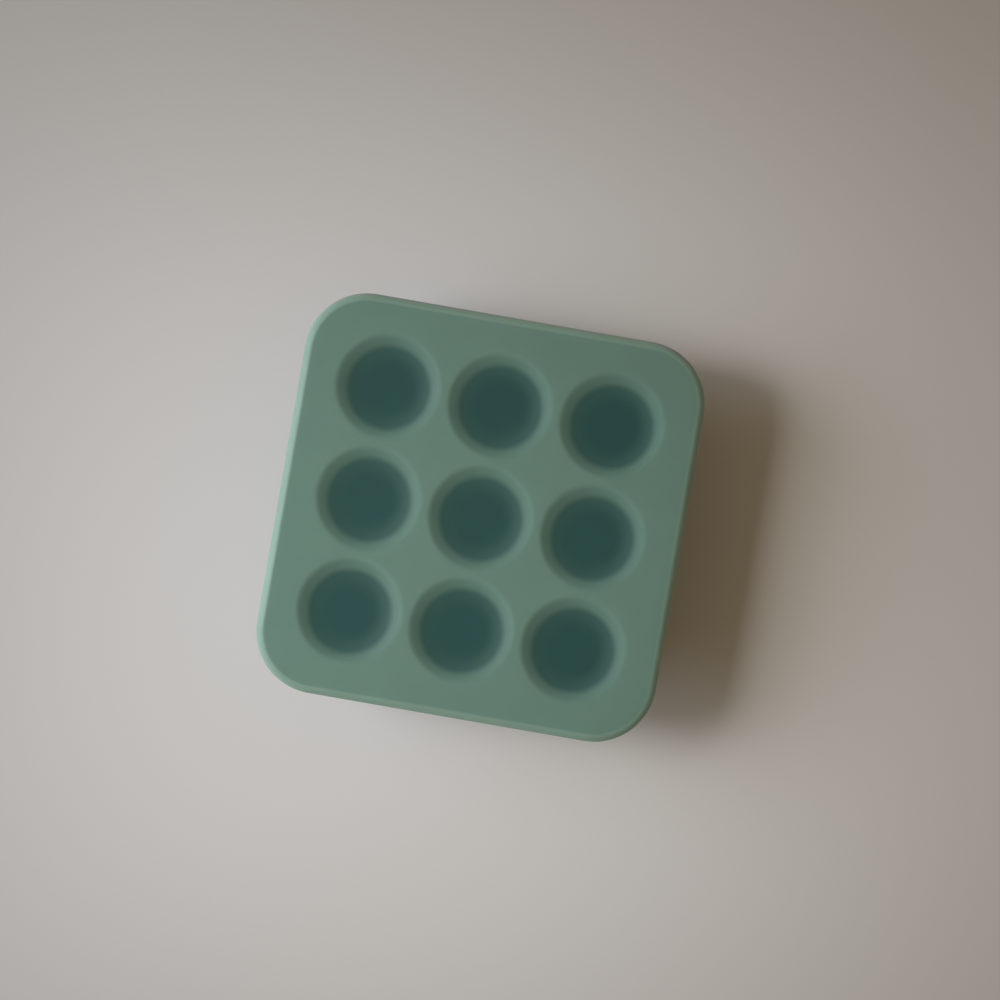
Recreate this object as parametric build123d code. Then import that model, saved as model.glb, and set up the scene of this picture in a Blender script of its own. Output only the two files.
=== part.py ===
from build123d import *
import os
from math import cos, tan, radians

# A freezer tray for portions of baby food: a soft tray of nine cups and a dished lid, both
# moulded in silicone. Millimetres, +Z up. The origin is the middle of the base, on the plane
# that the cup floors stand on, and X and Y run along the sides.

# Closed tray, outside
SIDE = 155.0  # width and depth
CORNER_RADIUS = 24.0  # corners, in plan
HEIGHT = 52.0  # cup floors to lid face

# Grid of cups
CUPS_PER_SIDE = 3
PITCH = 43.3  # from one cup's axis to the next

# Lid: one even sheet with a turned-down rim
SHEET = 2.0
RIM_DROP = 7.7  # lid face to the rim's lower edge
RIM_ROUNDING = 3.2  # upper outside edge
RIM_LIP_ROUNDING = 0.7  # lower edges

# Lid dishes, one over each cup: the upper side is a recess, the lower side plugs the cup's mouth
DISH_RADIUS = 20.0  # at the lid face, before its edge is rounded
DISH_DEPTH = 1.9
DISH_SLOPE = 73.0  # wall, degrees from upright
DISH_EDGE_ROUNDING = 7.5  # lid face into the wall
DISH_FLOOR_ROUNDING = 26.0  # wall into the floor
PLUG_ROOT_ROUNDING = 3.5  # underneath, and on the cup mouths that the plugs seat in

# Tray deck, its skirt and the bead that the lid's rim sits over
DECK = 2.5
SKIRT_WALL = 2.0
SKIRT_ROUNDING = 1.5
SKIRT_INNER_ROUNDING = 1.5
BEAD_HEIGHT = 3.2
BEAD_ROUNDING = 1.0
BEAD_INNER_ROUNDING = 0.6

# Cups
SEAT_DEPTH = 1.4  # sunk mouth that takes the plug, below the deck's face
CUP_DRAFT = 2.5  # degrees
CUP_WALL = 1.8
CUP_FLOOR = 2.0
CUP_FLOOR_ROUNDING = 6.0  # inside
CUP_NECK_ROUNDING = 2.0  # sunk mouth into the draft
CUP_ROOT_ROUNDING = 2.0  # outer wall into the deck's underside

# Clearances between lid and tray
SEAT_GAP = 0.2  # plug to sunk mouth, square to the wall
RIM_GAP = 0.3  # rim to skirt
PARTING_GAP = 0.4  # rim's lower edge to bead

# Worked out from the above
DECK_Z = HEIGHT - SHEET  # the deck's face, which the lid sheet rests on
RIM_Z = HEIGHT - RIM_DROP
BEAD_TOP_Z = RIM_Z - PARTING_GAP
BEAD_BOTTOM_Z = BEAD_TOP_Z - BEAD_HEIGHT
SEAT_Z = DECK_Z - SEAT_DEPTH
RIM_INNER_ROUNDING = RIM_ROUNDING - SHEET  # keeps the sheet even round the bend
SLOPE = tan(radians(DISH_SLOPE))
SLANT = 1 / cos(radians(DISH_SLOPE))  # a thickness square to the wall, measured level
DRAFT = tan(radians(CUP_DRAFT))
OVERRUN = 1.0  # how far a cutter runs past the face that it opens
NEAR = 0.01  # tolerance when edges are picked by height or radius
COLLAR = 1.0  # how far a turned piece reaches into the sheet, past its rounded root


def cup_axes():
    """Where the cups and dishes stand, in plan."""
    return GridLocations(PITCH, PITCH, CUPS_PER_SIDE, CUPS_PER_SIDE)


def rounded_block(inset, bottom, top):
    """A block on the tray's outline, drawn in from it by inset."""
    outline = RectangleRounded(SIDE - 2 * inset, SIDE - 2 * inset, CORNER_RADIUS - inset)
    return Pos(0, 0, bottom) * extrude(outline, top - bottom)


def loop_at(block, z):
    """The edges of a block that lie in the level plane at z."""
    return block.edges().filter_by_position(Axis.Z, z - NEAR, z + NEAR)


def turned(outline, roundings):
    """Revolve a half section of (radius, height) points, its corners rounded as asked."""
    section = make_face(Polyline(*outline, close=True))
    for corner, rounding in roundings.items():
        r, z = outline[corner]
        near = section.vertices().sort_by_distance((r, z, 0))[0]
        section = fillet(near, rounding)
    return revolve(Plane.XZ * section, Axis.Z)


def wall_radius(outward, z):
    """The dish wall's radius at height z, moved outward square to the wall."""
    return DISH_RADIUS + outward * SLANT - SLOPE * (HEIGHT - z)


def lid_plug():
    """The underside of one dish, which closes a cup's mouth."""
    bottom = HEIGHT - DISH_DEPTH - SHEET
    root = wall_radius(SHEET, DECK_Z)
    outline = [
        (0, bottom),
        (wall_radius(SHEET, bottom), bottom),
        (root, DECK_Z),
        (root + COLLAR, DECK_Z),
        (root + COLLAR, HEIGHT),
        (0, HEIGHT),
    ]
    return turned(outline, {1: DISH_FLOOR_ROUNDING + SHEET, 2: PLUG_ROOT_ROUNDING})


def lid_recess():
    """The hollow of one dish, seen from above."""
    floor = HEIGHT - DISH_DEPTH
    outline = [
        (0, floor),
        (wall_radius(0, floor), floor),
        (wall_radius(0, HEIGHT + OVERRUN), HEIGHT + OVERRUN),
        (0, HEIGHT + OVERRUN),
    ]
    return turned(outline, {1: DISH_FLOOR_ROUNDING})


def make_lid():
    """A sheet with a turned-down rim, and a dish over each cup that plugs its mouth."""
    lid = rounded_block(0, RIM_Z, HEIGHT)
    lid = fillet(loop_at(lid, HEIGHT), RIM_ROUNDING)
    inside = rounded_block(SHEET, RIM_Z - OVERRUN, DECK_Z)
    lid -= fillet(loop_at(inside, DECK_Z), RIM_INNER_ROUNDING)
    lid = fillet(loop_at(lid, RIM_Z), RIM_LIP_ROUNDING)
    lid += cup_axes() * lid_plug()
    lid -= cup_axes() * lid_recess()
    mouths = loop_at(lid, HEIGHT).filter_by(GeomType.CIRCLE)
    mouths = mouths.filter_by(lambda edge: abs(edge.radius - DISH_RADIUS) < NEAR)
    return fillet(mouths, DISH_EDGE_ROUNDING)


def seat_radius(z):
    """The radius of a cup's sunk mouth at height z, one clearance outside the plug's wall."""
    return wall_radius(SHEET + SEAT_GAP, z)


def cup_radius(outward, z):
    """The radius of a cup's drafted wall at height z, moved outward on the level."""
    return seat_radius(SEAT_Z) + outward - DRAFT * (SEAT_Z - z)


def cup_outside():
    """One cup as a solid, with a collar in the deck, so that its root is rounded."""
    under = DECK_Z - DECK
    root = cup_radius(CUP_WALL, under)
    collar = root + CUP_ROOT_ROUNDING + COLLAR
    outline = [
        (0, 0),
        (cup_radius(CUP_WALL, 0), 0),
        (root, under),
        (collar, under),
        (collar, DECK_Z),
        (0, DECK_Z),
    ]
    return turned(outline, {1: CUP_FLOOR_ROUNDING + CUP_WALL, 2: CUP_ROOT_ROUNDING})


def cup_inside():
    """The room in one cup, sunk at its mouth to seat the lid's plug."""
    top = DECK_Z + OVERRUN
    outline = [
        (0, CUP_FLOOR),
        (cup_radius(0, CUP_FLOOR), CUP_FLOOR),
        (seat_radius(SEAT_Z), SEAT_Z),
        (seat_radius(top), top),
        (0, top),
    ]
    return turned(outline, {1: CUP_FLOOR_ROUNDING, 2: CUP_NECK_ROUNDING})


def make_tray():
    """Nine cups that hang from a deck, whose skirt ends in a bead as wide as the lid."""
    skirt_inset = SHEET + RIM_GAP
    tray = rounded_block(skirt_inset, BEAD_BOTTOM_Z, DECK_Z)
    tray = fillet(loop_at(tray, DECK_Z), SKIRT_ROUNDING)
    bead = rounded_block(0, BEAD_BOTTOM_Z, BEAD_TOP_Z)
    bead_edges = loop_at(bead, BEAD_TOP_Z) + loop_at(bead, BEAD_BOTTOM_Z)
    tray += fillet(bead_edges, BEAD_ROUNDING)
    hollow = rounded_block(skirt_inset + SKIRT_WALL, BEAD_BOTTOM_Z - OVERRUN, DECK_Z - DECK)
    tray -= fillet(loop_at(hollow, DECK_Z - DECK), SKIRT_INNER_ROUNDING)
    foot = tray.faces().sort_by(Axis.Z)[0]
    tray = fillet(foot.inner_wires()[0].edges(), BEAD_INNER_ROUNDING)
    tray += cup_axes() * cup_outside()
    tray -= cup_axes() * cup_inside()
    mouths = loop_at(tray, DECK_Z).filter_by(GeomType.CIRCLE)
    return fillet(mouths.filter_by(lambda edge: edge.radius < PITCH / 2), PLUG_ROOT_ROUNDING)


os.makedirs("parts", exist_ok=True)
for name, make in {"tray": make_tray, "lid": make_lid}.items():
    piece = make()
    piece.label = name
    export_step(piece, f"parts/{name}.step")
    print(name, "solids", len(piece.solids()), "volume", round(piece.volume / 1000, 1), "cm3")

cup_room = cup_inside() & Pos(0, 0, DECK_Z / 2) * Box(SIDE, SIDE, DECK_Z)
print("one cup holds", round(cup_room.volume / 1000, 1), "ml to the brim")
print("and", round((cup_room - lid_plug()).volume / 1000, 1), "ml under the lid")
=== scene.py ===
# %% [markdown]
# # A silicone freezer tray with its lid on
#
# The real object is two soft mouldings. The tray is a deck with nine round cups hanging from it, and
# the lid is a thin sheet with a dish over each cup. Its dishes plug the cups, and its turned-down rim
# wraps the deck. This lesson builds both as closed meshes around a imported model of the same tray, gives
# them a matte, slightly see-through silicone, and looks straight down at them in soft window light.

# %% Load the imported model
from math import atan2, cos, pi, radians, sin, tan

import bmesh
import bpy
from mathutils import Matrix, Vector


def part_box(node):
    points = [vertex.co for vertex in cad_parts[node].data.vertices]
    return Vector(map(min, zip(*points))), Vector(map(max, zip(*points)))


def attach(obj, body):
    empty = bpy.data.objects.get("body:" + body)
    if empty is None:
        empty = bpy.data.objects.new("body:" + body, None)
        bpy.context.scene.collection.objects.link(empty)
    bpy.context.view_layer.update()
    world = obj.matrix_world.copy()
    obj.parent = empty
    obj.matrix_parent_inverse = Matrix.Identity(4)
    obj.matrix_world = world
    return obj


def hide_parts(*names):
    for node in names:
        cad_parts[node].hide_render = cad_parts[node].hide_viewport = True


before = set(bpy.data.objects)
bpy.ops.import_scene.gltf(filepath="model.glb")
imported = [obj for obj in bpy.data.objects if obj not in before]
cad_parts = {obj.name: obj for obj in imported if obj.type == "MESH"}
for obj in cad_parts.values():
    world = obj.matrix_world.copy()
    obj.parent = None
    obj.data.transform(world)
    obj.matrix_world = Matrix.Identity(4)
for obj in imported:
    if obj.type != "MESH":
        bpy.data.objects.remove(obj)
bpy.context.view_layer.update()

# %% [markdown]
# ## Sizes
#
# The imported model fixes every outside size, so the sides and heights are read from its two nodes. What a
# box can't tell, such as the spacing of the cups and the roundings, is named once, in metres, where it is
# first needed. Every mesh and every look that follows the shape is worked out from these values.

# %% Sizes
MM = 0.001
CM3 = (10 * MM) ** 3
lid_low, lid_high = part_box("lid")
SIDE = lid_high[0] - lid_low[0]
LID_TOP = lid_high[2]
RIM_FOOT = lid_low[2]
DECK_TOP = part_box("tray")[1][2]
CORNER_RADIUS = 24.0 * MM
PITCH = 43.3 * MM
PER_SIDE = 3
print(f"side {SIDE / MM:.1f} mm, lid face at {LID_TOP / MM:.1f} mm, deck at {DECK_TOP / MM:.1f} mm")

# %% [markdown]
# ## Camera
#
# The view is straight down, a little turned, so that the tray lies askew as a tray put down by hand does.
# A long lens from far away would also do. This one is at arm's length, so the floor beside the tray is
# seen a touch smaller than the lid, as the eye would see it. The camera's place is worked out from where
# the tray's middle lies in the picture, how many pixels its side takes and how far it is turned.

# %% Camera
IMAGE_WIDTH = 1000  # pixels
SIDE_IN_IMAGE = 406.7  # pixels
MIDDLE_IN_IMAGE = (480.4, 517.6)  # pixels, across and down
TURN = radians(9.87)
LENS = 60.0  # millimetres, on Blender's 36 mm sensor

metres_per_pixel = SIDE / SIDE_IN_IMAGE
camera_data = bpy.data.cameras.new("camera")
camera_data.lens = LENS
distance = metres_per_pixel * IMAGE_WIDTH * LENS / camera_data.sensor_width
across = (IMAGE_WIDTH / 2 - MIDDLE_IN_IMAGE[0]) * metres_per_pixel
up = (MIDDLE_IN_IMAGE[1] - IMAGE_WIDTH / 2) * metres_per_pixel
camera = bpy.data.objects.new("camera", camera_data)
camera.location = (
    across * cos(TURN) - up * sin(TURN),
    across * sin(TURN) + up * cos(TURN),
    LID_TOP + distance,
)
camera.rotation_euler = (0, 0, TURN)
bpy.context.collection.objects.link(camera)
bpy.context.scene.camera = camera
print(f"camera {distance / MM:.0f} mm above the lid")

# %% [markdown]
# ## Node helpers
#
# The world, the floor, the silicone and the grid of cups are all wired from nodes. Four short functions
# make a node, feed its sockets and do sums with them, so that every tree below reads as a formula and not
# as plumbing.

# %% Node helpers
def node(tree, kind, **settings):
    """A new node, with its settings."""
    made = tree.nodes.new(kind)
    for name, value in settings.items():
        setattr(made, name, value)
    return made


def feed(tree, socket, value):
    """Links a socket to a socket, or sets it to a number or a colour."""
    if isinstance(value, bpy.types.NodeSocket):
        tree.links.new(value, socket)
    elif socket.type == "RGBA":
        socket.default_value = (*value, 1)
    else:
        socket.default_value = value


def calc(tree, operation, first, second=0.0, third=0.0):
    """A Math node's result."""
    made = node(tree, "ShaderNodeMath", operation=operation)
    for socket, value in zip(made.inputs, (first, second, third)):
        feed(tree, socket, value)
    return made.outputs[0]


def remap(tree, value, low, high, to_low=0.0, to_high=1.0):
    """Eases value from low to high into a new range."""
    made = node(tree, "ShaderNodeMapRange", interpolation_type="SMOOTHSTEP")
    for name, number in {
        "Value": value, "From Min": low, "From Max": high, "To Min": to_low, "To Max": to_high,
    }.items():
        feed(tree, made.inputs[name], number)
    return made.outputs["Result"]


# %% [markdown]
# ## Light and floor
#
# A tall window to the left is the only strong light, so the tray's shadow falls to the right and fades at
# its edge. Two rectangular area lamps make it. The small upper one stands at about 50 degrees and gives
# the shadow its shape, and the wide, cooler lower one, at about 30 degrees, lights the slopes that face
# the window. Each has a narrowed spread, as a window has in a thick wall, so the floor darkens to one
# side. The world is the room, which sends back a dim, warm light that fills the shadow. Together they
# light a level surface at about one, so that a colour comes out about as it is written.
#
# Far from the tray the floor would be as dim as the room. So where it is looked at, by the camera or in a
# reflection, the room and the floor's far part are a pale backdrop, which sends the tray no light.

# %% Window
def window_lamp(name, distance, side_angle, height_angle, size, aim, spread, colour, power):
    """A lamp to the left, in metres and watts, its distance and angles taken from the tray's middle."""
    data = bpy.data.lights.new(name, "AREA")
    data.shape = "RECTANGLE"
    data.size, data.size_y = size
    data.color = colour
    data.energy = power
    data.spread = spread
    lamp = bpy.data.objects.new(name, data)
    away = distance * cos(height_angle)
    place = Vector((-away * cos(side_angle), -away * sin(side_angle), distance * sin(height_angle)))
    lamp.location = place
    lamp.rotation_euler = (Vector(aim) - place).to_track_quat("-Z", "X").to_euler()
    bpy.context.collection.objects.link(lamp)
    print(name, "of", power, "W at", [round(part, 2) for part in place], "m")


window_lamp(
    "window_top",
    distance=0.730,
    side_angle=radians(5.1),
    height_angle=radians(52.5),
    size=(0.268, 0.344),
    aim=(0.025, -0.042, 0.0),
    spread=radians(36.3),
    colour=(0.956, 0.976, 1.000),
    power=0.214,
)
window_lamp(
    "window_bottom",
    distance=0.643,
    side_angle=radians(11.4),
    height_angle=radians(29.9),
    size=(0.404, 0.774),
    aim=(0.055, -0.110, 0.0),
    spread=radians(78.7),
    colour=(0.744, 0.852, 1.000),
    power=1.251,
)

# %% Room and backdrop
ROOM_COLOUR = (1.000, 0.785, 0.501)
ROOM_STRENGTH = 0.256
BACKDROP_COLOUR = (0.50, 0.485, 0.465)


def looked_at(tree):
    """One for rays from the camera, a reflection or glass, and zero for those that gather light."""
    path = node(tree, "ShaderNodeLightPath").outputs
    reflected = calc(tree, "MAXIMUM", path["Is Glossy Ray"], path["Is Transmission Ray"])
    return calc(tree, "MAXIMUM", path["Is Camera Ray"], reflected)


def show_instead(tree, share, usual, other, output):
    """Shows the other shader by its share, and the usual one elsewhere."""
    choice = node(tree, "ShaderNodeMixShader")
    for socket, value in zip(choice.inputs, (share, usual.outputs[0], other.outputs[0])):
        feed(tree, socket, value)
    feed(tree, tree.nodes[output].inputs["Surface"], choice.outputs[0])


world = bpy.data.worlds.new("room")
world.use_nodes = True
world_nodes = world.node_tree
room = world_nodes.nodes["Background"]
feed(world_nodes, room.inputs["Color"], ROOM_COLOUR)
feed(world_nodes, room.inputs["Strength"], ROOM_STRENGTH)
backdrop = node(world_nodes, "ShaderNodeBackground")
feed(world_nodes, backdrop.inputs["Color"], BACKDROP_COLOUR)
show_instead(world_nodes, looked_at(world_nodes), room, backdrop, "World Output")
bpy.context.scene.world = world
bpy.context.scene.view_settings.view_transform = "Standard"
print("strength as light", ROOM_STRENGTH, "and as a backdrop", backdrop.inputs["Strength"].default_value)

# %% Floor
FLOOR_REACH = 3.0  # from the tray's middle to each side
FLOOR_COLOUR = (0.558, 0.531, 0.505)
FLOOR_ROUGHNESS = 0.8
FLOOR_GLOSS = 0.3
FLOOR_FADE = (0.31, 0.55)  # from the tray's middle: where the lit floor starts to fade, and has gone
floor_mesh = bpy.data.meshes.new("floor")
corners = [(-1, -1), (1, -1), (1, 1), (-1, 1)]
floor_mesh.from_pydata([(x * FLOOR_REACH, y * FLOOR_REACH, 0) for x, y in corners], [], [(0, 1, 2, 3)])
floor = bpy.data.objects.new("floor", floor_mesh)
bpy.context.collection.objects.link(floor)
floor_material = bpy.data.materials.new("floor")
floor_material.use_nodes = True
floor_nodes = floor_material.node_tree
floor_shader = floor_nodes.nodes["Principled BSDF"]
feed(floor_nodes, floor_shader.inputs["Base Color"], FLOOR_COLOUR)
feed(floor_nodes, floor_shader.inputs["Roughness"], FLOOR_ROUGHNESS)
feed(floor_nodes, floor_shader.inputs["Specular IOR Level"], FLOOR_GLOSS)
from_middle = node(floor_nodes, "ShaderNodeVectorMath", operation="LENGTH")
feed(floor_nodes, from_middle.inputs[0], node(floor_nodes, "ShaderNodeTexCoord").outputs["Object"])
faded = remap(floor_nodes, from_middle.outputs["Value"], *FLOOR_FADE)
faded = calc(floor_nodes, "MULTIPLY", faded, looked_at(floor_nodes))
far_floor = node(floor_nodes, "ShaderNodeEmission")
feed(floor_nodes, far_floor.inputs["Color"], BACKDROP_COLOUR)
show_instead(floor_nodes, faded, floor_shader, far_floor, "Material Output")
floor_mesh.materials.append(floor_material)
print("floor", 2 * FLOOR_REACH, "m wide")

# %% [markdown]
# ## Rounded sections
#
# Both mouldings are described by their sections: the run of a wall across and down, with every corner on
# an arc, because silicone leaves the mould with no sharp edges. A section is written as its sharp corners,
# each with a rounding, and the arcs are worked out. A point close to each end of a straight run holds the
# run flat, so that the smooth shading of an arc doesn't spread over the flat face beside it.

# %% Sections from corners
ARC_STEPS = 8
HOLD = 0.35 * MM  # how close a holding point is to the end of its run
LONG_RUN = 4 * HOLD  # a shorter run needs none


def rounded_section(corners):
    """Points along straight runs, where corners are (across, height, rounding)."""
    points = []
    for number, (x, z, rounding) in enumerate(corners):
        here = Vector((x, z))
        if not rounding:
            points.append(here)
            continue
        back = (Vector(corners[number - 1][:2]) - here).normalized()
        onward = (Vector(corners[number + 1][:2]) - here).normalized()
        half_angle = back.angle(onward) / 2
        middle = here + (back + onward).normalized() * rounding / sin(half_angle)
        start = here + back * rounding / tan(half_angle) - middle
        end = here + onward * rounding / tan(half_angle) - middle
        first = atan2(start.y, start.x)
        sweep = (atan2(end.y, end.x) - first + pi) % (2 * pi) - pi
        for step in range(ARC_STEPS + 1):
            angle = first + sweep * step / ARC_STEPS
            points.append(middle + rounding * Vector((cos(angle), sin(angle))))
    return points


def held_flat(points):
    """The same section with a point close to each end of every long run."""
    held = [points[0]]
    for start, end in zip(points, points[1:]):
        run = end - start
        if run.length > LONG_RUN:
            held += [start + run.normalized() * HOLD, end - run.normalized() * HOLD]
        held.append(end)
    return held


def section(*corners):
    """A finished section, from its sharp corners."""
    return held_flat(rounded_section(corners))


# %% [markdown]
# ## One cell of the grid
#
# Seen from above, tray and lid are nine like squares, three by three, each with one cup or dish in its
# middle, and a plain border round them. So one cell is modelled: its section is turned about the cup's
# axis, and its last ring is stretched to the square. Spokes run to evenly spaced points on the square,
# which is what lets neighbouring cells meet point to point and become one skin.

# %% A cell, turned and squared off
STEPS_PER_CELL = 28  # along each side of its square


def square_ring(half, steps, z):
    """Evenly spaced points round a square, counted anticlockwise from one corner."""
    along = [-half + 2 * half * step / steps for step in range(steps)]
    right = [(half, t) for t in along]
    back = [(-t, half) for t in along]
    left = [(-half, -t) for t in along]
    front = [(t, -half) for t in along]
    return [Vector((x, y, z)) for x, y in right + back + left + front]


def neighbours(ring):
    """Each vertex of a closed ring with the next one."""
    return zip(ring, ring[1:] + ring[:1])


def bridge(mesh, inner, outer, upward):
    """Faces between two rings of vertices that run anticlockwise."""
    for (near, near_next), (far, far_next) in zip(neighbours(inner), neighbours(outer)):
        face = [near, far, far_next, near_next]
        mesh.faces.new(face if upward else face[::-1])


def turned_sheet(mesh, points, upward):
    """Turns a section about the cup's axis and stretches the last ring to the cell's square."""
    square = square_ring(PITCH / 2, STEPS_PER_CELL, points[-1].y)
    spokes = [corner.to_2d().normalized() for corner in square]
    middle = mesh.verts.new((0, 0, points[0].y))
    inner = None
    for point in points[1:]:
        ring = [mesh.verts.new((*(spoke * point.x), point.y)) for spoke in spokes]
        if inner is None:
            for rim, rim_next in neighbours(ring):
                mesh.faces.new((middle, rim, rim_next) if upward else (middle, rim_next, rim))
        else:
            bridge(mesh, inner, ring, upward)
        inner = ring
    bridge(mesh, inner, [mesh.verts.new(place) for place in square], upward)


def cell_object(name, upper, lower):
    """One cell with its upper and lower skins."""
    mesh = bmesh.new()
    turned_sheet(mesh, upper, upward=True)
    turned_sheet(mesh, lower, upward=False)
    data = bpy.data.meshes.new(name)
    mesh.to_mesh(data)
    mesh.free()
    cell = bpy.data.objects.new(name, data)
    bpy.context.collection.objects.link(cell)
    print(name, "faces", len(data.polygons))
    return cell


# %% [markdown]
# ## Repeating the cell
#
# A Geometry Nodes tree sets the cell on every point of a grid and gives the result its material. The same
# could be done with two Array modifiers, but one tree with named inputs says what the rule is, and serves
# tray and lid alike. Its result is made a plain mesh, because a finished moulding shouldn't depend on a
# live modifier. The seams between cells are still open: they are welded with the border, further down.

# %% Geometry Nodes tree
def grid_tree():
    """Cells on a square grid that is centred on the origin."""
    tree = bpy.data.node_groups.new("cells on a grid", "GeometryNodeTree")
    inputs = {
        "Cell": "NodeSocketGeometry",
        "Spacing": "NodeSocketFloat",
        "Per Side": "NodeSocketInt",
        "Material": "NodeSocketMaterial",
    }
    for name, kind in inputs.items():
        tree.interface.new_socket(name, in_out="INPUT", socket_type=kind)
    tree.interface.new_socket("Cells", in_out="OUTPUT", socket_type="NodeSocketGeometry")
    given = node(tree, "NodeGroupInput").outputs
    gaps = calc(tree, "SUBTRACT", given["Per Side"], 1.0)
    span = calc(tree, "MULTIPLY", given["Spacing"], gaps)
    grid = node(tree, "GeometryNodeMeshGrid")
    for side in ("X", "Y"):
        feed(tree, grid.inputs[f"Size {side}"], span)
        feed(tree, grid.inputs[f"Vertices {side}"], given["Per Side"])
    spread = node(tree, "GeometryNodeInstanceOnPoints")
    feed(tree, spread.inputs["Points"], grid.outputs["Mesh"])
    feed(tree, spread.inputs["Instance"], given["Cell"])
    real = node(tree, "GeometryNodeRealizeInstances")
    feed(tree, real.inputs["Geometry"], spread.outputs["Instances"])
    finish = node(tree, "GeometryNodeSetMaterial")
    feed(tree, finish.inputs["Geometry"], real.outputs["Geometry"])
    feed(tree, finish.inputs["Material"], given["Material"])
    feed(tree, node(tree, "NodeGroupOutput").inputs["Cells"], finish.outputs["Geometry"])
    return tree


CELLS_ON_A_GRID = grid_tree()


def grid_of(cell, material):
    """The cell repeated on the grid, as a plain mesh; the cell's object is used up."""
    modifier = cell.modifiers.new("grid", "NODES")
    modifier.node_group = CELLS_ON_A_GRID
    values = {"Spacing": PITCH, "Per Side": PER_SIDE, "Material": material}
    for item in CELLS_ON_A_GRID.interface.items_tree:
        if item.name in values:
            modifier[item.identifier] = values[item.name]
    evaluated = cell.evaluated_get(bpy.context.evaluated_depsgraph_get())
    result = bpy.data.meshes.new_from_object(evaluated)
    bpy.data.objects.remove(cell)
    return result


# %% [markdown]
# ## The border and its rim
#
# Outside the nine cells the sheet runs on to a rounded-square outline, turns down, and comes back
# underneath. That is one more section, but swept round the outline instead of turned. Each ring
# keeps one point for every point on the edge of the cells: those beside the straight sides move straight
# out, and those near a corner fan out along its arc. So the last weld closes the skin with no gap.

# %% Rings on the outline
STRAIGHT = SIDE / 2 - CORNER_RADIUS  # half of a side's straight part
CELLS_HALF = PER_SIDE * PITCH / 2
BORDER_STEPS = PER_SIDE * STEPS_PER_CELL
WELD = 0.01 * MM  # points closer than this become one


def outline_point(place, inset):
    """Where a point on the square of cells goes on the rounded outline, drawn in by inset."""
    x, y = place.x, place.y
    on_side = abs(x) >= abs(y)
    out, along = (x, y) if on_side else (y, x)
    out_sign, along_sign = (1 if out > 0 else -1), (1 if along > 0 else -1)
    radius = CORNER_RADIUS - inset
    if abs(along) <= STRAIGHT:
        out_to, along_to = STRAIGHT + radius, abs(along)
    else:
        angle = (abs(along) - STRAIGHT) / (CELLS_HALF - STRAIGHT) * pi / 4  # half of a corner's arc
        out_to, along_to = STRAIGHT + radius * cos(angle), STRAIGHT + radius * sin(angle)
    pair = (out_sign * out_to, along_sign * along_to)
    return pair if on_side else pair[::-1]


def add_border(mesh, points, top, under):
    """Sweeps a section of (inset, height) round the outline, from the cells' upper edge to the lower."""
    square = square_ring(CELLS_HALF, BORDER_STEPS, top)
    rings = [square]
    for point in points:
        rings.append([Vector((*outline_point(place, point.x), point.y)) for place in square])
    rings.append(square_ring(CELLS_HALF, BORDER_STEPS, under))
    inner = [mesh.verts.new(place) for place in rings[0]]
    for ring in rings[1:]:
        outer = [mesh.verts.new(place) for place in ring]
        bridge(mesh, inner, outer, upward=True)
        inner = outer


def moulding(name, upper, lower, rim, material):
    """A closed silicone moulding: nine cells, and a border that ends in the rim."""
    cells = grid_of(cell_object(f"{name}_cell", upper, lower), material)
    mesh = bmesh.new()
    mesh.from_mesh(cells)
    add_border(mesh, rim, upper[-1].y, lower[-1].y)
    bmesh.ops.remove_doubles(mesh, verts=mesh.verts, dist=WELD)
    for face in mesh.faces:
        face.smooth = True
        face.material_index = 0  # the tree's material came in a slot after an empty one
    open_edges = sum(not edge.is_manifold for edge in mesh.edges)
    print(f"{name} volume {mesh.calc_volume(signed=True) / CM3:.1f} cm3, open edges {open_edges}")
    data = bpy.data.meshes.new(name)
    mesh.to_mesh(data)
    mesh.free()
    bpy.data.meshes.remove(cells)
    data.materials.append(material)
    piece = bpy.data.objects.new(name, data)
    bpy.context.collection.objects.link(piece)
    return piece


# %% [markdown]
# ## Painted shade and glow that belong to a place
#
# Silicone is a little see-through. Where the lid rests on the deck, light comes back from the silicone
# below, but over a cup it is lost in the hollow, so each dish shows a dark disc with a soft edge. Here that
# disc is painted shade. Light also passes through the lid's thin bend, which has no deck behind it, so it
# shows paler: that is a painted glow, and the bend is also less rough. A renderer could find both by
# sending light through the sheet, but that is slow and grainy, and a model exported from here would lose
# it. So they are part of the colour, and go by distances: from the nearest cup's axis, in from the
# outline, and down from the lid's face. The first two take some sums, and each is a node group.

# %% Groups that measure the place
def shader_group(name, inputs, outputs):
    """A shader node group with named number inputs and outputs, and nothing between them yet."""
    tree = bpy.data.node_groups.new(name, "ShaderNodeTree")
    for label, default in inputs.items():
        socket = tree.interface.new_socket(label, in_out="INPUT", socket_type="NodeSocketFloat")
        socket.default_value = default
    for label in outputs:
        tree.interface.new_socket(label, in_out="OUTPUT", socket_type="NodeSocketFloat")
    return tree, node(tree, "NodeGroupInput").outputs, node(tree, "NodeGroupOutput").inputs


def place_on_piece(tree):
    """A point's X, Y and Z in the piece's own coordinates."""
    parts = node(tree, "ShaderNodeSeparateXYZ")
    feed(tree, parts.inputs[0], node(tree, "ShaderNodeTexCoord").outputs["Object"])
    return parts.outputs


def length(tree, across, along):
    """How long a step is, from its two parts."""
    squares = [calc(tree, "MULTIPLY", part, part) for part in (across, along)]
    return calc(tree, "SQRT", calc(tree, "ADD", *squares))


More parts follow.
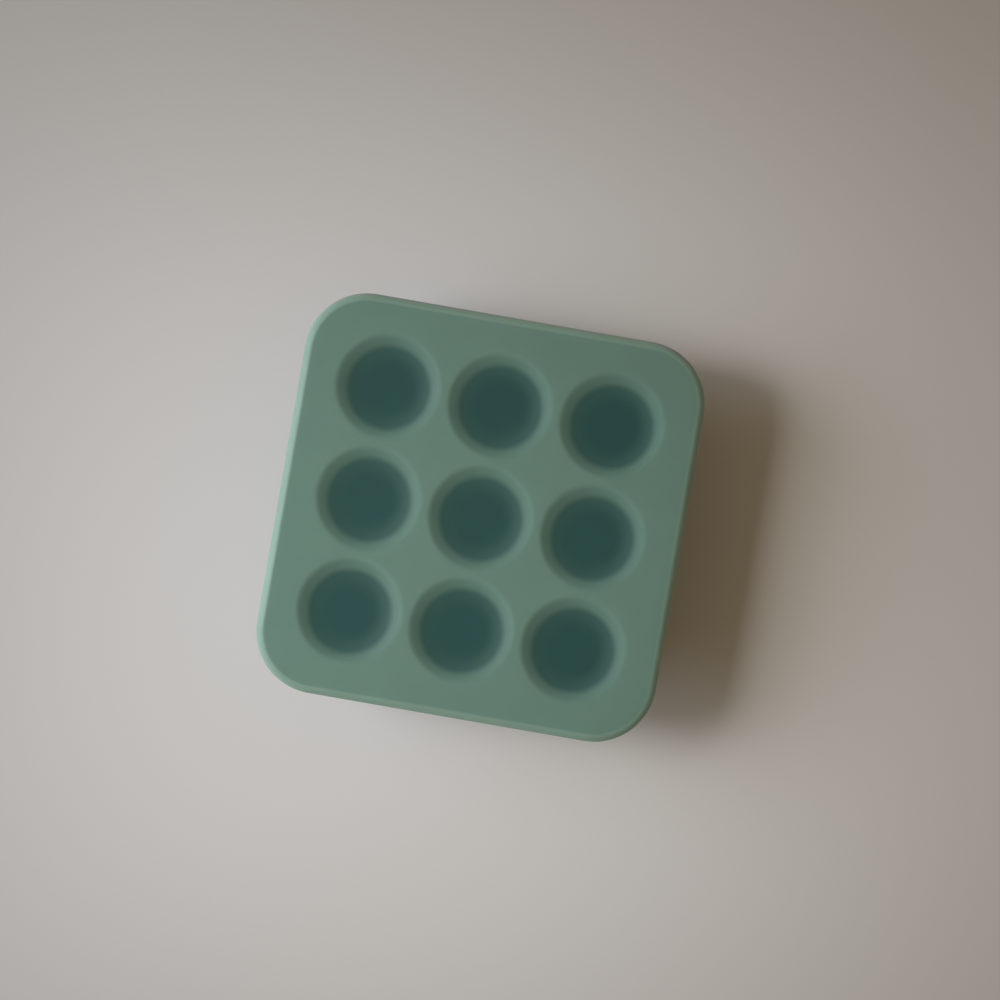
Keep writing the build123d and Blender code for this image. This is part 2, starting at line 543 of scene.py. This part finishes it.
def cup_distance_group():
    """How far a point is from the axis of the nearest cup."""
    sizes = {"Pitch": PITCH, "Offset X": 0.0, "Offset Y": 0.0}
    tree, given, result = shader_group("distance from cup axis", sizes, ["Distance"])
    place = place_on_piece(tree)
    last_cup = (PER_SIDE - 1) / 2  # the middle cup is number nought
    parts = []
    for axis in ("X", "Y"):
        along = calc(tree, "SUBTRACT", place[axis], given[f"Offset {axis}"])
        cup = calc(tree, "ROUND", calc(tree, "DIVIDE", along, given["Pitch"]))
        cup = calc(tree, "MINIMUM", calc(tree, "MAXIMUM", cup, -last_cup), last_cup)
        parts.append(calc(tree, "SUBTRACT", along, calc(tree, "MULTIPLY", cup, given["Pitch"])))
    feed(tree, result["Distance"], length(tree, *parts))
    return tree


def outline_inset_group():
    """How far a point is inside the rounded-square outline."""
    sizes = {"Straight": STRAIGHT, "Corner Radius": CORNER_RADIUS}
    tree, given, result = shader_group("inset from outline", sizes, ["Inset"])
    place = place_on_piece(tree)
    parts = []
    for axis in ("X", "Y"):
        past = calc(tree, "SUBTRACT", calc(tree, "ABSOLUTE", place[axis]), given["Straight"])
        parts.append(calc(tree, "MAXIMUM", past, 0.0))
    feed(tree, result["Inset"], calc(tree, "SUBTRACT", given["Corner Radius"], length(tree, *parts)))
    return tree


CUP_DISTANCE = cup_distance_group()
OUTLINE_INSET = outline_inset_group()
print("groups", CUP_DISTANCE.name, "and", OUTLINE_INSET.name)

# %% Painted glow and shade by place, on the lid
# Painted glow: the bend and its lip are paler, where light would pass through the thin silicone.
RIM_PAINTED_GLOW = (0.172, 0.265, 0.208)
RIM_EDGE = (2.6 * MM, 3.6 * MM)  # in from the outline: the rim's painted glow and lower roughness are full, then gone
RIM_POLISH = 0.22  # how much less rough than the face
LIP_PAINTED_GLOW = (0.208, 0.307, 0.245)
LIP_EDGE = (0.4 * MM, 1.9 * MM)
BEND_FADE = (2.0 * MM, 7.0 * MM)  # below the face: the painted glows and the lower roughness are full, then gone
# Painted shade: the dark over each cup, where light is lost in the hollow below the lid.
HOLLOW_PAINTED_SHADE = (0.0115, 0.058, 0.0505)
HOLLOW_SHADE_FADES = (  # out from a cup's axis: where a fade of the painted shade starts and ends, and its share of the whole
    (8.0 * MM, 16.0 * MM, 0.17),
    (14.5 * MM, 17.8 * MM, 0.58),
    (17.6 * MM, 21.0 * MM, 0.25),
)
HOLLOW_SHADE_OFFSET = (0.25 * MM, -0.65 * MM)  # the painted shade is shifted this little off the cups' axes
UPPER_SIDE = (2.4 * MM, 2.9 * MM)  # below the face: dishes lie above this, and their plugs below


def mixed(tree, factor, first, second):
    """A colour between two others."""
    made = node(tree, "ShaderNodeMix", data_type="RGBA")
    feed(tree, made.inputs["Factor"], factor)
    for name, value in (("A", first), ("B", second)):
        feed(tree, next(s for s in made.inputs if s.name == name and s.type == "RGBA"), value)
    return next(s for s in made.outputs if s.type == "RGBA")


def placed(tree, group, **values):
    """A shared group in a material, with its own values."""
    made = node(tree, "ShaderNodeGroup", node_tree=group)
    for name, value in values.items():
        feed(tree, made.inputs[name.replace("_", " ")], value)
    return made.outputs


def with_painted_bend_glow(tree, below_face, colour, roughness):
    """The colour paled with a painted glow, and the roughness lowered, where the sheet bends down at the
    rim.
    """
    inset = placed(tree, OUTLINE_INSET)["Inset"]
    bend = remap(tree, below_face, *BEND_FADE, 1.0, 0.0)
    rim_glow_and_polish = calc(tree, "MULTIPLY", bend, remap(tree, inset, *RIM_EDGE, 1.0, 0.0))
    lip_glow = calc(tree, "MULTIPLY", bend, remap(tree, inset, *LIP_EDGE, 1.0, 0.0))
    colour = mixed(tree, lip_glow, mixed(tree, rim_glow_and_polish, colour, RIM_PAINTED_GLOW), LIP_PAINTED_GLOW)
    return colour, calc(tree, "MULTIPLY_ADD", rim_glow_and_polish, -RIM_POLISH, roughness)


def with_painted_hollow_shade(tree, below_face, colour):
    """The colour, darkened with painted shade on the upper side over each cup."""
    aside, ahead = HOLLOW_SHADE_OFFSET
    distance = placed(tree, CUP_DISTANCE, Offset_X=aside, Offset_Y=ahead)["Distance"]
    past_cup = 0.0
    for start, end, share in HOLLOW_SHADE_FADES:
        past_cup = calc(tree, "ADD", past_cup, remap(tree, distance, start, end, 0.0, share))
    painted_shade_share = calc(tree, "SUBTRACT", 1.0, past_cup)
    upper = remap(tree, below_face, *UPPER_SIDE, 1.0, 0.0)
    return mixed(tree, calc(tree, "MULTIPLY", painted_shade_share, upper), colour, HOLLOW_PAINTED_SHADE)


# %% [markdown]
# ## The moulded skin
#
# Food silicone is matte, because the blasted face of its mould leaves a fine grain on it, and its tone and
# gloss wander a little. An image of such a skin would show its seams. Noise in the piece's own coordinates
# has none, and both mouldings share it as one node group, with its sizes as inputs.

# %% Group for the moulded skin
GRAIN_DETAIL = 2.0
TONE_DETAIL = 3.0
NOISE_MIDDLE = 0.5


def skin_group():
    """The moulded skin: fine grain, slow changes of tone, and uneven gloss."""
    sizes = {"Grain Size": 0.25 * MM, "Tone Size": 18 * MM, "Roughness": 0.65, "Roughness Spread": 0.1}
    tree, given, result = shader_group("moulded skin", sizes, ["Grain", "Tone", "Roughness"])
    place = node(tree, "ShaderNodeTexCoord").outputs["Object"]

    def noise(size, detail):
        made = node(tree, "ShaderNodeTexNoise")
        feed(tree, made.inputs["Vector"], place)
        feed(tree, made.inputs["Scale"], calc(tree, "DIVIDE", 1.0, size))
        feed(tree, made.inputs["Detail"], detail)
        return made.outputs["Fac"]

    tone = noise(given["Tone Size"], TONE_DETAIL)
    uneven = calc(tree, "MULTIPLY", calc(tree, "SUBTRACT", tone, NOISE_MIDDLE), given["Roughness Spread"])
    feed(tree, result["Grain"], noise(given["Grain Size"], GRAIN_DETAIL))
    feed(tree, result["Tone"], tone)
    feed(tree, result["Roughness"], calc(tree, "ADD", given["Roughness"], uneven))
    return tree


SKIN = skin_group()
print("group", SKIN.name)

# %% [markdown]
# ## Silicone
#
# One function makes the material of both mouldings: a plain matte silicone, in which light spreads about a
# centimetre under the surface, and for the lid the painted glow and painted shade by place on top of it.
# What is the same all over is set on the shader itself, as one value that is easy to find and change.

# %% Silicone for tray and lid
SILICONE_COLOUR = (0.118, 0.206, 0.159)
TONE_RANGE = (0.3, 0.7)  # what the noise usually gives
TONE_DEPTH = 0.04  # between the darkest spots and the palest
GRAIN_DEPTH = 0.02 * MM
GRAIN_STRENGTH = 0.5
GLOSS = 0.35  # the blasted face sends back less than a polished one would
SILICONE_IOR = 1.41
SCATTER = 0.35
SCATTER_COLOUR = (0.8, 1.0, 0.9)
SCATTER_DEPTH = 12 * MM


def silicone(name, face_height=None):
    """Matte silicone; a lid, known by the height of its face, also gets a painted glow on its bend and
    painted shade over the cups.
    """
    material = bpy.data.materials.new(name)
    material.use_nodes = True
    tree = material.node_tree
    skin = placed(tree, SKIN)
    colour, roughness = SILICONE_COLOUR, skin["Roughness"]
    if face_height is not None:
        below_face = calc(tree, "SUBTRACT", face_height, place_on_piece(tree)["Z"])
        colour, roughness = with_painted_bend_glow(tree, below_face, colour, roughness)
        colour = with_painted_hollow_shade(tree, below_face, colour)
    tone = remap(tree, skin["Tone"], *TONE_RANGE)
    toned = node(tree, "ShaderNodeHueSaturation")
    feed(tree, toned.inputs["Color"], colour)
    feed(tree, toned.inputs["Value"], calc(tree, "MULTIPLY_ADD", tone, TONE_DEPTH, 1 - TONE_DEPTH / 2))
    bump = node(tree, "ShaderNodeBump")
    feed(tree, bump.inputs["Distance"], GRAIN_DEPTH)
    feed(tree, bump.inputs["Strength"], GRAIN_STRENGTH)
    feed(tree, bump.inputs["Height"], skin["Grain"])
    shader = tree.nodes["Principled BSDF"]
    for socket, value in {
        "Base Color": toned.outputs["Color"],
        "Roughness": roughness,
        "Normal": bump.outputs["Normal"],
        "IOR": SILICONE_IOR,
        "Specular IOR Level": GLOSS,
        "Subsurface Weight": SCATTER,
        "Subsurface Radius": SCATTER_COLOUR,
        "Subsurface Scale": SCATTER_DEPTH,
    }.items():
        feed(tree, shader.inputs[socket], value)
    print(name, "has", len(tree.nodes), "nodes")
    return material


# %% [markdown]
# ## The lid
#
# The lid is one even sheet. From above, a dish goes from the lid's face over a soft edge into a gently
# sloping wall and a flat floor. From below, the same wall, one thickness further out, is the plug that
# closes the cup's mouth. The rim turns down outside the deck. Each is written as the corners of a section.
# Silicone is soft, so the floor and the wall then sag a little towards the middle of the dish.

# %% Lid
SHEET = LID_TOP - DECK_TOP  # the lid rests on the deck, so this is how thick it is
RIM_ROUNDING = 3.2 * MM
RIM_LIP_ROUNDING = 0.7 * MM
DISH_RADIUS = 20.0 * MM
DISH_DEPTH = 1.9 * MM
DISH_SLOPE = radians(73.0)  # the wall, from upright
DISH_EDGE_ROUNDING = 7.5 * MM
DISH_FLOOR_ROUNDING = 26.0 * MM
PLUG_ROOT_ROUNDING = 3.5 * MM
SAG = 0.4 * MM  # the soft sheet hangs this much lower in the middle of a dish
SAG_STEPS = 8
LAST_RING = 21.5 * MM  # where turned rings end and the cell's square begins


def wall_radius(outward, z):
    """The dish wall's radius at height z, moved outward square to the wall."""
    return DISH_RADIUS + outward / cos(DISH_SLOPE) - tan(DISH_SLOPE) * (LID_TOP - z)


def sagged(points):
    """The same section, sunk a little towards the axis, its flat floor in steps that look round."""
    near, far = points[1:3]  # the ends of the flat floor
    floor = [near.lerp(far, step / SAG_STEPS) for step in range(SAG_STEPS)]
    sunk = []
    for point in points[:1] + floor + points[2:]:
        depth = SAG * max(0, 1 - (point.x / DISH_RADIUS) ** 2)
        sunk.append(point - Vector((0, depth)))
    return sunk


def lid_sections():
    """The dish from above, the plug from below, and the rim."""
    floor = LID_TOP - DISH_DEPTH
    plug_floor = floor - SHEET
    dish = section(
        (0, floor, 0),
        (wall_radius(0, floor), floor, DISH_FLOOR_ROUNDING),
        (wall_radius(0, LID_TOP), LID_TOP, DISH_EDGE_ROUNDING),
        (LAST_RING, LID_TOP, 0),
    )
    plug = section(
        (0, plug_floor, 0),
        (wall_radius(SHEET, plug_floor), plug_floor, DISH_FLOOR_ROUNDING + SHEET),
        (wall_radius(SHEET, DECK_TOP), DECK_TOP, PLUG_ROOT_ROUNDING),
        (LAST_RING, DECK_TOP, 0),
    )
    rim = section(
        (RIM_ROUNDING + 2 * HOLD, LID_TOP, 0),
        (0, LID_TOP, RIM_ROUNDING),
        (0, RIM_FOOT, RIM_LIP_ROUNDING),
        (SHEET, RIM_FOOT, RIM_LIP_ROUNDING),
        (SHEET, DECK_TOP, RIM_ROUNDING - SHEET),
        (RIM_ROUNDING + 2 * HOLD, DECK_TOP, 0),
    )
    return sagged(dish), sagged(plug), rim


lid_silicone = silicone("lid_silicone", face_height=LID_TOP)
lid = moulding("silicone_lid", *lid_sections(), lid_silicone)
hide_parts("lid")
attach(lid, "lid")

# %% [markdown]
# ## The tray
#
# A cup is a tapered well with a rounded floor, and its mouth is sunk to seat the lid's plug. Its outer
# face is the same taper, one wall further out, down to the floor that stands on the table. The deck's
# skirt hides behind the lid's rim and ends in a bead as wide as the lid.

# %% Tray
DECK = 2.5 * MM
SKIRT_INSET = 2.3 * MM
SKIRT_WALL = 2.0 * MM
SKIRT_ROUNDING = 1.5 * MM
SKIRT_INNER_ROUNDING = 1.5 * MM
PARTING_GAP = 0.4 * MM
BEAD_HEIGHT = 3.2 * MM
BEAD_ROUNDING = 1.0 * MM
BEAD_INNER_ROUNDING = 0.6 * MM
SEAT_GAP = 0.2 * MM
SEAT_DEPTH = 1.4 * MM
CUP_DRAFT = radians(2.5)
CUP_WALL = 1.8 * MM
CUP_FLOOR = 2.0 * MM
CUP_FLOOR_ROUNDING = 6.0 * MM
CUP_NECK_ROUNDING = 2.0 * MM
CUP_ROOT_ROUNDING = 2.0 * MM


def cup_radius(outward, z):
    """The radius of a cup's drafted wall at height z."""
    seat_z = DECK_TOP - SEAT_DEPTH
    return wall_radius(SHEET + SEAT_GAP, seat_z) + outward - tan(CUP_DRAFT) * (seat_z - z)


def tray_sections():
    """The cup's inside, its outside, and the skirt with its bead."""
    seat_z = DECK_TOP - SEAT_DEPTH
    under = DECK_TOP - DECK
    bead_top = RIM_FOOT - PARTING_GAP
    bead_foot = bead_top - BEAD_HEIGHT
    inside = section(
        (0, CUP_FLOOR, 0),
        (cup_radius(0, CUP_FLOOR), CUP_FLOOR, CUP_FLOOR_ROUNDING),
        (cup_radius(0, seat_z), seat_z, CUP_NECK_ROUNDING),
        (wall_radius(SHEET + SEAT_GAP, DECK_TOP), DECK_TOP, PLUG_ROOT_ROUNDING),
        ((LAST_RING + PITCH / 2) / 2, DECK_TOP, 0),  # halfway to the cell's edge
    )
    outside = section(
        (0, 0, 0),
        (cup_radius(CUP_WALL, 0), 0, CUP_FLOOR_ROUNDING + CUP_WALL),
        (cup_radius(CUP_WALL, under), under, CUP_ROOT_ROUNDING),
        (LAST_RING, under, 0),
    )
    skirt = section(
        (SKIRT_INSET + SKIRT_ROUNDING + 2 * HOLD, DECK_TOP, 0),
        (SKIRT_INSET, DECK_TOP, SKIRT_ROUNDING),
        (SKIRT_INSET, bead_top, 0),
        (0, bead_top, BEAD_ROUNDING),
        (0, bead_foot, BEAD_ROUNDING),
        (SKIRT_INSET + SKIRT_WALL, bead_foot, BEAD_INNER_ROUNDING),
        (SKIRT_INSET + SKIRT_WALL, under, SKIRT_INNER_ROUNDING),
        (SKIRT_INSET + SKIRT_WALL + SKIRT_INNER_ROUNDING + 2 * HOLD, under, 0),
    )
    return inside, outside, skirt


tray_silicone = silicone("tray_silicone")
tray = moulding("silicone_tray", *tray_sections(), tray_silicone)
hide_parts("tray")
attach(tray, "tray")
